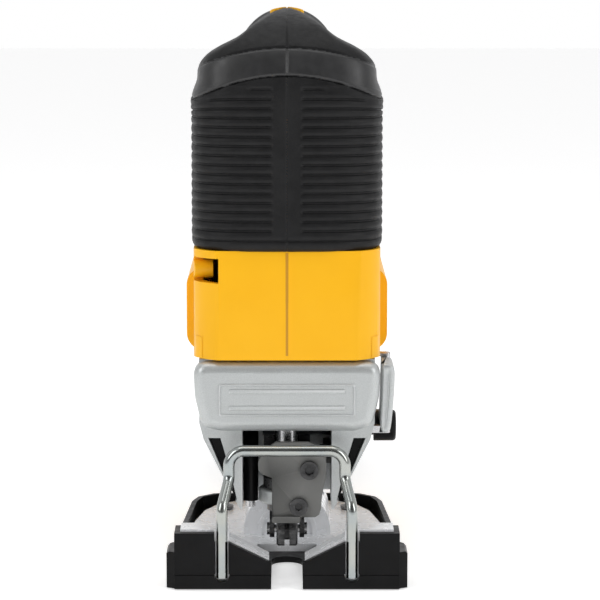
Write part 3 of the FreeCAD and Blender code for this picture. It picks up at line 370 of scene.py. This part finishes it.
# ---------------------------------------------------------------- carried-over nodes
def dress_cad():
    """Give every CAD node the finish of its slot."""
    for name, obj in nodes.items():
        obj.data.materials.clear()
        obj.data.materials.append(MATS[FINISH.get(name, slot_of_node[name])])


dress_cad()
# Edge radius, in millimetres, of each CAD shape whose sharp edges are eased.
SOFT = {
    "gear_case": 0.7, "shoe_plate": 0.45,
    "overshoe": 0.5, "clamp_collar": 0.2, "orbit_fork": 0.25, "bevel_lever": 0.5, "trigger": 0.8,
    "housing_left": 0.6, "housing_right": 0.6, "pack_upper": 0.5, "pack_lower": 0.5, "pack_latch": 0.4,
    "case_lid": 0.3, "guide_screws": 0.12, "lever_pin": 0.2,
}
for node_name, edge in SOFT.items():
    softened(node_name, edge)

# ---------------------------------------------------------------- soft grip
PIVOT_Y, PIVOT_Z = 5.0, 165.0          # inner corner where the nose turns into the bar
ON_BAR = 400.0                         # front height given to stations that lie past the nose
NOSE_DEPTH, NOSE_HALF = 56.2, 34.4
GRIP_BOTTOM, LIP_LINE = 118.7, 122.7
BAR_RADIUS, BAR_AXIS_Z = 19.2, 184.1
PLUNGER_Y = -34.5                      # axis of the plunger rod
BAR_STOP, BEND_RADIUS, BEND_DEG = 92.0, 24.0, 15.6
BAR_FALL = math.tan(math.radians(1.4))
RIB_FIRST, RIB_PITCH, RIB_COUNT = 126.2, 3.35, 16
# How far the nose reaches from the pivot, and its half width, against degrees of turn from front to top.
REACH = [(0, 56.2), (15, 57.6), (25, 58.0), (35, 55.4), (45, 50.8), (55, 46.4), (65, 42.8), (75, 40.2), (90, 38.4)]
HALF = [(0, 34.4), (26, 34.8), (30, 34.3), (36, 31.8), (42, 27.6), (47, 23.8), (52, 20.9), (60, 19.2), (90, 19.2)]


def curve_value(table, x):
    """Smooth value between the knots of a short table."""
    if x <= table[0][0]:
        return table[0][1]
    for i in range(len(table) - 1):
        (x0, y0), (x1, y1) = table[i], table[i + 1]
        if x <= x1:
            before = table[i - 1] if i else (2 * x0 - x1, y0)
            after = table[i + 2] if i + 2 < len(table) else (2 * x1 - x0, y1)
            t, h = (x - x0) / (x1 - x0), x1 - x0
            m0 = (y1 - before[1]) / (x1 - before[0]) * h
            m1 = (after[1] - y0) / (after[0] - x0) * h
            return ((2 * t**3 - 3 * t**2 + 1) * y0 + (t**3 - 2 * t**2 + t) * m0
                    + (3 * t**2 - 2 * t**3) * y1 + (t**3 - t**2) * m1)
    return table[-1][1]


def smooth(t):
    """Ease from 0 to 1."""
    t = min(1.0, max(0.0, t))
    return t * t * (3 - 2 * t)


def half_ring(power):
    """Unit superellipse from outer middle to inner middle, finest near the outer middle."""
    outer = [0.0145 * i for i in range(14)] + [0.2 + 0.0281 * i for i in range(27)]
    pts = [(f, (1 - f**power) ** (1 / power)) for f in outer]
    edge = (1 - 0.945**power) ** (1 / power)
    for i in range(27):
        c = edge * math.cos(math.pi * i / 26)
        pts.append(((1 - abs(c) ** power) ** (1 / power), c))
    for f in (0.88, 0.8, 0.7, 0.58, 0.45, 0.3, 0.15, 0.0):
        pts.append((f, -((1 - f**power) ** (1 / power))))
    return pts


def grip_stations():
    """(front height, pivot y, pivot z, outward y, outward z, depth, half width, power)"""
    levels = [GRIP_BOTTOM + d for d in (0, 0.15, 0.5, 1.0, 1.6, 2.2, 2.8)]
    levels += [LIP_LINE + d for d in (-0.5, -0.28, -0.12, 0.12, 0.28, 0.5)]
    for i in range(RIB_COUNT):
        z = RIB_FIRST + RIB_PITCH * i
        fine = (-1.34, -1.0, -0.62, -0.42, -0.22, 0.0, 0.22, 0.42, 0.62, 1.0, 1.34, 1.67)
        coarse = (-1.67, -0.62, -0.42, -0.22, 0.22, 0.42, 0.62)
        levels += [z + d for d in (fine if z > 168 else coarse)]
    top = RIB_FIRST + RIB_PITCH * (RIB_COUNT - 1) + 2.0
    while top < 193.0:
        levels.append(top)
        top += 0.3
    out = []
    for z in levels:
        if z <= PIVOT_Z:
            out.append((z, PIVOT_Y, z, -1.0, 0.0, NOSE_DEPTH, NOSE_HALF, 3.7))
    fan = [z for z in levels if z > PIVOT_Z]
    angles, deg = [], 0.0
    for z in fan:
        while deg < 60 and PIVOT_Z + curve_value(REACH, deg) * math.sin(math.radians(deg)) < z:
            deg += 0.02
        angles.append(deg)
    while deg < 89.5:
        deg = min(90.0, deg + 1.6)
        angles.append(deg)
        fan.append(ON_BAR)
    for z, deg in zip(fan, angles):
        a = math.radians(deg)
        power = 3.7 - 1.7 * smooth((deg - 18) / 42)
        out.append((z, PIVOT_Y, PIVOT_Z, -math.cos(a), math.sin(a), curve_value(REACH, deg),
                    curve_value(HALF, deg), power))
    base = BAR_AXIS_Z - BAR_RADIUS
    for i in range(1, 30):
        y = PIVOT_Y + (BAR_STOP - PIVOT_Y) * i / 29
        out.append((ON_BAR, y, base, 0.0, 1.0, 2 * BAR_RADIUS, BAR_RADIUS, 2.0))
    for i in range(1, 7):
        b = math.radians(BEND_DEG * i / 6)
        cy = BAR_STOP + BEND_RADIUS * math.sin(b)
        cz = BAR_AXIS_Z - BEND_RADIUS + BEND_RADIUS * math.cos(b)
        oy, oz = math.sin(b), math.cos(b)
        out.append((ON_BAR, cy - BAR_RADIUS * oy, cz - BAR_RADIUS * oz, oy, oz, 2 * BAR_RADIUS, BAR_RADIUS, 2.0))
    return out


# Half width of the front outline against height: broad shoulders, then a narrow ridge.
OUTLINE = [(120, 60), (170, 45), (178, 35.5), (184, 34), (188, 30), (191, 24.5), (194, 18), (199, 11.5), (202.5, 5),
           (204.4, 0.1)]


def narrowed(x, z):
    """Hold the nose inside the front outline: a narrow ridge rising out of broad shoulders."""
    limit = curve_value(OUTLINE, z)
    if z < 172 or x == 0:
        return x
    a = abs(x)
    soft = a / (1 + (a / limit) ** 9) ** (1 / 9)
    return math.copysign(soft, x)


def band_edges(x, y):
    """Heights of the two arc lines round the nose; they meet on each flank."""
    s = smooth((y + 38.0) / 34.0)
    q = (min(abs(x), 33.8) / 33.8) ** 2
    return 181.3 - 8.8 * q + 6.4 * s, 190.9 - 7.2 * q - 4.6 * s, s


def groove_at(distance, half):
    """Round-bottomed groove profile, 1 in its middle and 0 at its edges."""
    d = abs(distance) / half
    return 0.0 if d >= 1 else (1 - d * d) ** 1.5


def grip_detail(level, x, y, z):
    """How far the surface is sunk below the plain form."""
    sunk = 0.3 * groove_at(x, 0.45)
    rib = (level - RIB_FIRST) / RIB_PITCH
    i = round(rib)
    if 0 <= i < RIB_COUNT and y < 0.5:
        off = abs(level - RIB_FIRST - RIB_PITCH * i)
        depth = smooth((0.62 - off) / 0.40)
        limit = {RIB_COUNT - 1: 13.2, RIB_COUNT - 2: 27.6}.get(i, 99.0)
        depth *= smooth((abs(x) - 5.0) / 0.7) * (1 - smooth((abs(x) - limit) / 0.7))
        depth *= 1 - smooth((y + 3.5) / 3.0)
        sunk += 0.55 * depth
        crown = max(0.0, 1 - ((off - RIB_PITCH / 2) / 0.9) ** 2)
        sunk -= 0.16 * crown * smooth((abs(x) - 5.0) / 0.7) * (1 - smooth((y + 3.5) / 3.0))
    if level < 200:
        sunk += 0.5 * groove_at(level - LIP_LINE, 0.45)
        drop = (level - GRIP_BOTTOM) / 2.8
        if drop < 1:
            sunk += 2.6 * (1 - math.sqrt(max(0.0, 1 - (1 - drop) ** 2)))
    low, high, s = band_edges(x, y)
    if level > 165 and s < 0.985 and z > 165:
        fade = 1 - smooth((s - 0.6) / 0.38)
        sunk += fade * (0.6 * groove_at(z - low, 0.6) + 0.5 * groove_at(z - high, 0.6))
        if low < z < high:
            sunk -= 0.3 * fade
    return sunk


def section_point(station, sign, f, c, lift=0.0):
    """Point of one cross-section of the grip, sunk by its surface detail and raised by lift."""
    level, py, pz, oy, oz, depth, half, power = station
    x = sign * f * half
    d = depth / 2 * (1 + c)
    y, z = py + oy * d, pz + oz * d
    nx = sign * f ** (power - 1) / half
    nd = math.copysign(abs(c) ** (power - 1), c) / (depth / 2)
    size = math.hypot(nx, nd) or 1.0
    nx, nd = nx / size, nd / size
    sunk = grip_detail(level, x, y, z) - lift
    x, y, z = x - nx * sunk, y - nd * oy * sunk, z - nd * oz * sunk
    if level <= PIVOT_Z:
        y = min(y, 3.4)
    fall = smooth((y + 30) / 40) if level > PIVOT_Z else 0.0
    if y < 60:
        x = narrowed(x, z)
    return Vector((x, y, z - max(0.0, y + 20) * BAR_FALL * fall))


def grip_blob():
    """Whole soft grip as one closed form, nose and handle bar together."""
    bm = bmesh.new()
    rings = []
    for station in grip_stations():
        half = half_ring(station[7])
        ring = [section_point(station, 1, f, c) for f, c in half]
        ring += [section_point(station, -1, f, c) for f, c in half[-2:0:-1]]
        rings.append([bm.verts.new(p * MM) for p in ring])
    count = len(rings[0])
    for a, b in zip(rings, rings[1:]):
        for i in range(count):
            j = (i + 1) % count
            quad = (a[i], a[j], b[j], b[i])
            centre = sum((v.co for v in quad), Vector()) / 4 / MM
            face = bm.faces.new(quad)
            low, high, s = band_edges(centre.x, centre.y)
            if centre.y < -3 and low < centre.z < high and centre.z > 171:
                face.material_index = 1
    bm.faces.new(rings[0])
    bm.faces.new(rings[-1][::-1])
    bmesh.ops.remove_doubles(bm, verts=bm.verts, dist=2e-5)
    bmesh.ops.dissolve_degenerate(bm, edges=bm.edges, dist=1e-6)
    bmesh.ops.recalc_face_normals(bm, faces=bm.faces)
    return mesh_from(bm, "grip_blob")


def tool_object(build):
    """Throwaway solid used to cut a pocket."""
    bm = bmesh.new()
    build(bm)
    return linked("cutter", mesh_from(bm, "cutter"))


def round_cutter(radius, start, direction, length):
    """Cylinder to be taken away."""
    def build(bm):
        turn = Vector(direction).to_track_quat("Z", "Y").to_matrix().to_4x4()
        middle = (Vector(start) + Vector(direction).normalized() * length / 2) * MM
        bmesh.ops.create_cone(bm, cap_ends=True, segments=48, radius1=radius * MM, radius2=radius * MM,
                              depth=length * MM, matrix=Matrix.Translation(middle) @ turn)
    return tool_object(build)


def slot_cutter(lo, hi, radius):
    """Box with rounded upright edges."""
    def build(bm):
        lower, upper = [], []
        for cx, cy, start in ((hi[0] - radius, hi[1] - radius, 0), (lo[0] + radius, hi[1] - radius, 90),
                              (lo[0] + radius, lo[1] + radius, 180), (hi[0] - radius, lo[1] + radius, 270)):
            for k in range(9):
                a = math.radians(start + 90 * k / 8)
                x, y = (cx + radius * math.cos(a)) * MM, (cy + radius * math.sin(a)) * MM
                lower.append(bm.verts.new((x, y, lo[2] * MM)))
                upper.append(bm.verts.new((x, y, hi[2] * MM)))
        bm.faces.new(lower[::-1])
        bm.faces.new(upper)
        for i in range(len(lower)):
            j = (i + 1) % len(lower)
            bm.faces.new((lower[i], lower[j], upper[j], upper[i]))
    return tool_object(build)


def carve(obj, cutters):
    """Take the cutters out of the object and throw them away."""
    for cutter in cutters:
        mod = obj.modifiers.new("cut", "BOOLEAN")
        mod.operation = "DIFFERENCE"
        mod.solver = "EXACT"
        mod.object = cutter
    apply_modifiers(obj)
    for cutter in cutters:
        mesh = cutter.data
        bpy.data.objects.remove(cutter)
        bpy.data.meshes.remove(mesh)


HALF_GAP = 0.004                       # millimetres from the middle plane to each moulding


def make_grips():
    """The two soft mouldings, split along the middle."""
    whole = grip_blob()
    temp = linked("grip_temp", whole)
    whole.materials.append(MATS["grip_rubber"])
    whole.materials.append(MATS["satin_black"])
    trigger_slot = slot_cutter((-8.6, 11.4, 150), (8.6, 44.6, 186), 3.0)
    plunger_bore = round_cutter(5.4, (0, PLUNGER_Y, 84), (0, 0, 1), 56)
    lock_bore = round_cutter(5.45, (-60, 56, 186), (1, 0, 0), 120)
    screw_recess = round_cutter(3.5, (-60, -33.5, 179.4), (1, 0, 0), 31.2)
    carve(temp, [trigger_slot, plunger_bore, lock_bore, screw_recess])
    for name, side in (("grip_left", 1), ("grip_right", -1)):
        bm = bmesh.new()
        bm.from_mesh(temp.data)
        geom = bm.verts[:] + bm.edges[:] + bm.faces[:]
        cut = bmesh.ops.bisect_plane(bm, geom=geom, dist=1e-6, plane_co=(side * HALF_GAP * MM, 0, 0),
                                     plane_no=(side, 0, 0), clear_inner=True)
        rim = [e for e in cut["geom_cut"] if isinstance(e, bmesh.types.BMEdge)]
        bmesh.ops.holes_fill(bm, edges=rim, sides=0)
        bmesh.ops.triangulate(bm, faces=[f for f in bm.faces if len(f.verts) > 4])
        mesh = mesh_from(bm, name + "_skin")
        add_object(name + "_skin", mesh, [name], ["grip_rubber", "satin_black"])
        mesh.set_sharp_from_angle(angle=math.radians(50))
    bpy.data.objects.remove(temp)


STRIP_DEPTH = 1.4


def make_top_strip():
    """Coloured strip let into the top of the handle."""
    bm = bmesh.new()
    rows = []
    stations = [s for s in grip_stations() if s[0] >= ON_BAR]
    stations = [s for s in stations if s[1] + s[3] * s[5] > -10.5]
    xs = [-6.2, -6.05, -5.7, -4.0, -2.0, -0.55, -0.3, 0, 0.3, 0.55, 2.0, 4.0, 5.7, 6.05, 6.2]
    for k, station in enumerate(stations):
        half, power = station[6], station[7]
        narrow = math.sqrt(max(0.0, 1 - max(0.0, (2.5 - k) / 2.6) ** 2))
        row = []
        for x in xs:
            f = abs(x) * narrow / half
            edge = 0.0 if abs(x) > 6.1 else 0.18 if abs(x) > 5.9 else 0.32
            edge -= 0.22 if x == 0 else 0.0
            row.append(section_point(station, 1 if x >= 0 else -1, f, (1 - f**power) ** (1 / power), edge))
        for i, x in enumerate(xs):
            row[i].x = x * narrow
        rows.append(row)
    top = [[bm.verts.new(p * MM) for p in row] for row in rows]
    low = [[bm.verts.new((p - Vector((0, s[3], s[4])) * STRIP_DEPTH) * MM) for p in row]
           for row, s in zip(rows, stations)]
    n = len(xs)
    for grid, flip in ((top, False), (low, True)):
        for a, b in zip(grid, grid[1:]):
            for i in range(n - 1):
                quad = (a[i], a[i + 1], b[i + 1], b[i])
                bm.faces.new(quad[::-1] if flip else quad)
    for a, b, c, d in zip(top, top[1:], low, low[1:]):
        bm.faces.new((a[0], b[0], d[0], c[0]))
        bm.faces.new((b[-1], a[-1], c[-1], d[-1]))
    for i in range(n - 1):
        bm.faces.new((top[0][i + 1], top[0][i], low[0][i], low[0][i + 1]))
        bm.faces.new((top[-1][i], top[-1][i + 1], low[-1][i + 1], low[-1][i]))
    bmesh.ops.recalc_face_normals(bm, faces=bm.faces)
    mesh = mesh_from(bm, "top_strip")
    obj = linked("top_strip", mesh)
    mesh.materials.append(MATS["shell_colour"])
    shade_smooth(mesh)
    mesh.set_sharp_from_angle(angle=math.radians(50))
    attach(obj, "body")


make_grips()
make_top_strip()


# Where the two coordinates of an outline and the distance along the prism go.
PRISM = {"x": lambda a, b, t: (t, a, b), "y": lambda a, b, t: (a, t, b), "z": lambda a, b, t: (a, b, t)}


# ---------------------------------------------------------------- small parts
def plain_solid(name, outline, axis, start, stop, slot, bevel=0.15, body="body"):
    """Prism of a plane outline along one axis, with its edges eased."""
    bm = bmesh.new()
    place = PRISM[axis]
    low = [bm.verts.new(Vector(place(a, b, start)) * MM) for a, b in outline]
    top = [bm.verts.new(Vector(place(a, b, stop)) * MM) for a, b in outline]
    bm.faces.new(low)
    bm.faces.new(top[::-1])
    for i in range(len(low)):
        j = (i + 1) % len(low)
        bm.faces.new((low[i], top[i], top[j], low[j]))
    bmesh.ops.recalc_face_normals(bm, faces=bm.faces)
    bmesh.ops.bevel(bm, geom=bm.edges[:], offset=bevel * MM, segments=2, affect="EDGES", clamp_overlap=True)
    mesh = mesh_from(bm, name)
    obj = linked(name, mesh)
    mesh.materials.append(MATS[slot])
    shade_smooth(mesh)
    mesh.set_sharp_from_angle(angle=math.radians(40))
    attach(obj, body)


def make_small_parts():
    """Black fills painting the shade in the leg slits, the housing's seam and lower corners, and the guard's
    channels.
    """
    for name, s in (("left", 1), ("right", -1)):
        # Black fill in each leg slit: painted shade where the slit lies in deep shadow.
        outline = [(s * 18.2, 28.2), (s * 18.9, 28.2), (s * 28.0, 50.3), (s * 24.3, 50.3), (s * 20.8, 39.0)]
        plain_solid("leg_slit_shade_fill_" + name, outline, "y", -41.5, -23.0, "black_plastic")
    seam = [(-49.2, 118.4), (-50.25, 100.5), (-49.72, 81.4), (-48.4, 81.4), (-48.4, 118.4)]
    plain_solid("front_seam", seam, "x", -0.5, 0.5, "parting_amber", 0.05)
    for name, s in (("left", 1), ("right", -1)):
        patch = [(s * 30.2, -45.6), (s * 32.2, -43.4), (s * 33.3, -40.2), (s * 33.3, -36.0), (s * 31.2, -36.0),
                 (s * 30.0, -42.0)]
        plain_solid("housing_corner_" + name, patch, "z", 79.9, 88.0, "shell_colour", 0.3)
    for name, x in (("left", 23.1), ("right", -23.1)):
        channel = [(-2.68, -66.0), (-2.32, -66.0), (-2.32, -61.6), (2.32, -61.6), (2.32, -66.0), (2.68, -66.0),
                   (2.68, -61.0), (-2.68, -61.0)]
        plain_solid("guard_channel_" + name, [(x + a, b) for a, b in channel], "z", 5.6, 16.9, "black_plastic", 0.04,
                    "shoe")


make_small_parts()


# ---------------------------------------------------------------- front cover and side lever
def rounded_outline(points, radius, steps):
    """Closed outline with each corner turned into an arc, as points and outward normals."""
    n, out = len(points), []
    for i in range(n):
        p, a, b = Vector(points[i][:2]), Vector(points[i - 1][:2]), Vector(points[(i + 1) % n][:2])
        r = points[i][2] if len(points[i]) > 2 else radius
        u, v = (a - p).normalized(), (b - p).normalized()
        angle = u.angle(v)
        back = min(r / math.tan(angle / 2), 0.45 * (a - p).length, 0.45 * (b - p).length)
        start, end = p + u * back, p + v * back
        for k in range(steps + 1):
            t = k / steps
            out.append(start * (1 - t) ** 2 + p * 2 * t * (1 - t) + end * t**2)
    normals = []
    m = len(out)
    for i in range(m):
        d = (out[(i + 1) % m] - out[i - 1]).normalized()
        normals.append(Vector((d.y, -d.x)))
    area = sum(out[i - 1].x * out[i].y - out[i].x * out[i - 1].y for i in range(m))
    if area < 0:
        normals = [-q for q in normals]
    return out, normals


def add_rings(bm, rings):
    """Skin a stack of equal rings and close both ends."""
    made = [[bm.verts.new(Vector(p) * MM) for p in ring] for ring in rings]
    n = len(made[0])
    for a, b in zip(made, made[1:]):
        for i in range(n):
            j = (i + 1) % n
            bm.faces.new((a[i], a[j], b[j], b[i]))
    bm.faces.new(made[0][::-1])
    bm.faces.new(made[-1])


def pillow(bm, outline, normals, back, front, radius, steps):
    """Plate facing the front whose rim is rounded over."""
    rings = [[(p.x, back, p.y) for p in outline]]
    for k in range(steps + 1):
        a = math.pi / 2 * k / steps
        inset, y = radius * 1.1 * (1 - math.cos(a)), front + radius * (1 - math.sin(a))
        rings.append([(p.x - q.x * inset, y, p.y - q.y * inset) for p, q in zip(outline, normals)])
    add_rings(bm, rings)


def finish_mesh(bm, name):
    """Mesh with outward normals, its many-sided flats kept crisp."""
    bmesh.ops.recalc_face_normals(bm, faces=bm.faces)
    for face in bm.faces:
        if len(face.verts) > 4:
            for edge in face.edges:
                edge.smooth = False
    return mesh_from(bm, name)


def make_cover():
    """Cast front cover: soft-edged shield with a plain framed panel."""
    right = [(24.0, 53.8, 12), (30.6, 55.6, 7), (33.0, 66.0, 12), (33.75, 78.9, 5.6)]
    corners = right + [(-x, z, r) for x, z, r in right[::-1]]
    outline, normals = rounded_outline(corners, 3.0, 9)
    plate = tool_object(lambda shape: pillow(shape, outline, normals, -43.05, -50.0, 3.4, 9))
    carve(plate, [round_cutter(12.0, (0, PLUNGER_Y, 45), (0, 0, 1), 21)])
    bm = bmesh.new()
    bm.from_mesh(plate.data)
    bpy.data.objects.remove(plate)
    frame_out, frame_n = rounded_outline([(24.6, 59.6), (24.6, 71.4), (-24.6, 71.4), (-24.6, 59.6)], 1.2, 5)
    profile = [(0.0, -49.9), (0.15, -50.4), (0.45, -50.5), (0.75, -50.4), (0.9, -49.9)]
    rings = [[(p.x - q.x * d, y, p.y - q.y * d) for p, q in zip(frame_out, frame_n)] for d, y in profile]
    loops = [[bm.verts.new(Vector(v) * MM) for v in ring] for ring in rings]
    count = len(loops[0])
    for a, b in zip(loops, loops[1:] + loops[:1]):
        for i in range(count):
            j = (i + 1) % count
            bm.faces.new((a[i], a[j], b[j], b[i]))
    for z in (62.6, 68.6):
        bar, bar_n = rounded_outline([(21.0, z - 0.9), (21.0, z + 0.9), (-21.0, z + 0.9), (-21.0, z - 0.9)], 0.85, 5)
        pillow(bm, bar, bar_n, -49.8, -50.3, 0.28, 3)
    add_object("front_cover_shell", finish_mesh(bm, "front_cover_shell"), ["front_cover"], ["cast_metal"])


def make_lever():
    """Side lever with a raised rib that follows its edge."""
    outer = [(52.9, 35.8), (53.3, 36.7), (54.2, 37.2), (60.0, 37.9), (68.0, 38.5), (74.4, 38.7), (76.4, 38.4),
             (77.5, 37.5), (78.0, 36.2)]
    inner = [(52.9, 34.2), (55.0, 33.7), (60.0, 33.75), (66.0, 33.95), (78.0, 34.25)]
    rings = []
    levels = [52.9, 53.0, 53.3, 53.8, 54.6, 56.0] + [58.0 + 2.0 * i for i in range(9)]
    levels += [75.4, 76.3, 77.0, 77.5, 77.85, 78.0]
    last = len(levels) - 1
    end_tuck = {0: 1.0, 1: 0.6, 2: 0.25, last: 1.0, last - 1: 0.5, last - 2: 0.2}
    for k, z in enumerate(levels):
        x1, x0 = curve_value(outer, z), curve_value(inner, z)
        tuck = end_tuck.get(k, 0.0)
        front, rear = -46.4 + tuck, -25.9 - tuck
        sunk = 0.0 if z < 55.5 or z > 75.8 else 0.32
        section = [(x0 + 0.5, front), (x1 - 2.6, front), (x1 - 2.3, front + sunk), (x1 - 1.9, front + sunk),
                   (x1 - 1.6, front), (x1 - 0.9, front + 0.02), (x1 - 0.45, front + 0.2), (x1 - 0.15, front + 0.55),
                   (x1, front + 1.1), (x1, front + 1.7), (x1 - sunk, front + 2.0), (x1 - sunk, front + 2.6),
                   (x1, front + 2.9), (x1, rear - 4.4), (x1 - sunk, rear - 4.1), (x1 - sunk, rear - 3.5),
                   (x1, rear - 3.2), (x1, rear - 1.4), (x1 - 0.4, rear - 0.4), (x1 - 1.4, rear),
                   (x0 + 0.5, rear), (x0, rear - 0.5), (x0, front + 0.5)]
        rings.append([(x, y, z) for x, y in section])
    bm = bmesh.new()
    add_rings(bm, rings)
    obj = add_object("blade_lever_shell", finish_mesh(bm, "blade_lever_shell"), ["blade_lever"], ["cast_metal"])
    obj.data.set_sharp_from_angle(angle=math.radians(42))


make_cover()
make_lever()
